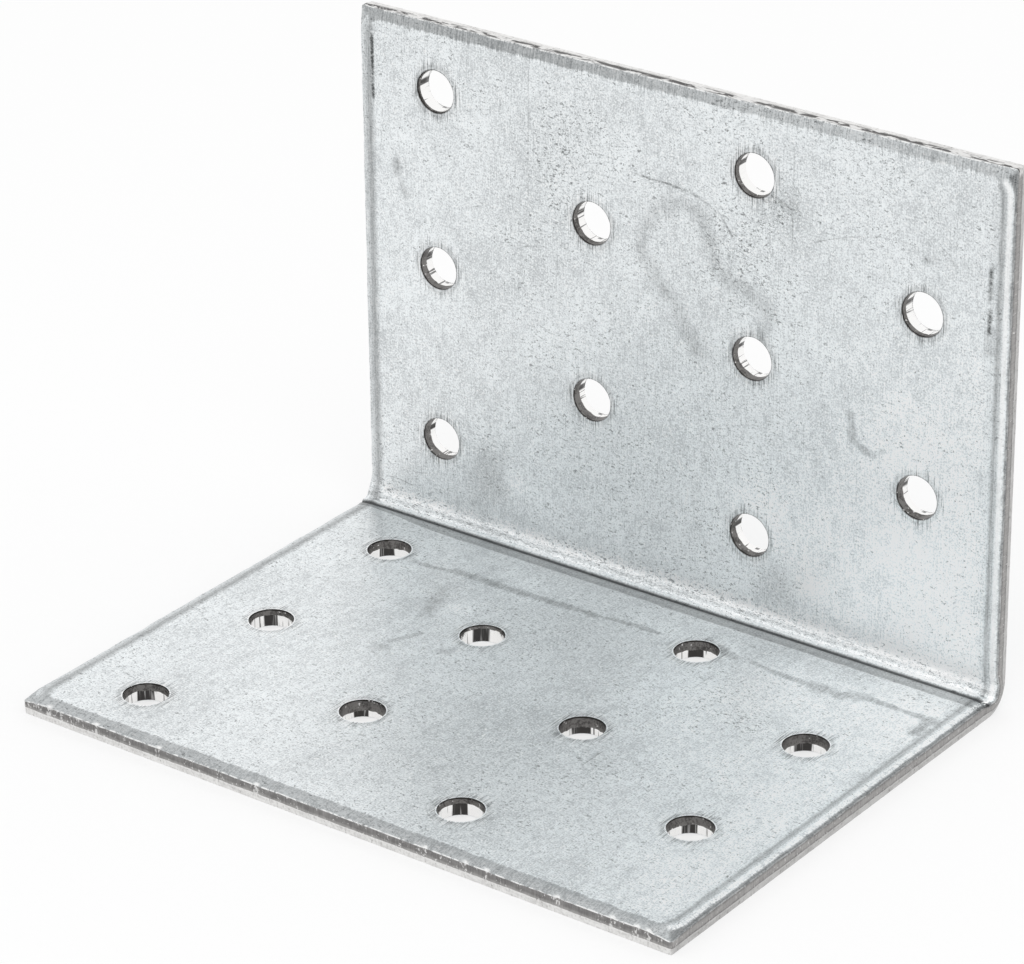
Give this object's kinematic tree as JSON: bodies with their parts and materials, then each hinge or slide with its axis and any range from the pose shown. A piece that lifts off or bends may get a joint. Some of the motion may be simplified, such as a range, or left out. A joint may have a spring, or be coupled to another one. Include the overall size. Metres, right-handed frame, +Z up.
{
  "type": "angle bracket",
  "caption": "Perforated angle bracket folded from galvanised steel sheet, with staggered round nail holes across each leg.",
  "frame": {"origin": "middle of the footprint, on the underside of the foot", "axes": "+X along the bend, +Y out of the back of the upright leg, +Z up along the upright leg"},
  "size_m": [0.0806, 0.059, 0.059],
  "materials": {
    "galvanised_sheet": "satin zinc coating, fine rolling lines"
  },
  "bodies": {
    "root": {"bracket": "galvanised_sheet"}
  },
  "joints": []
}
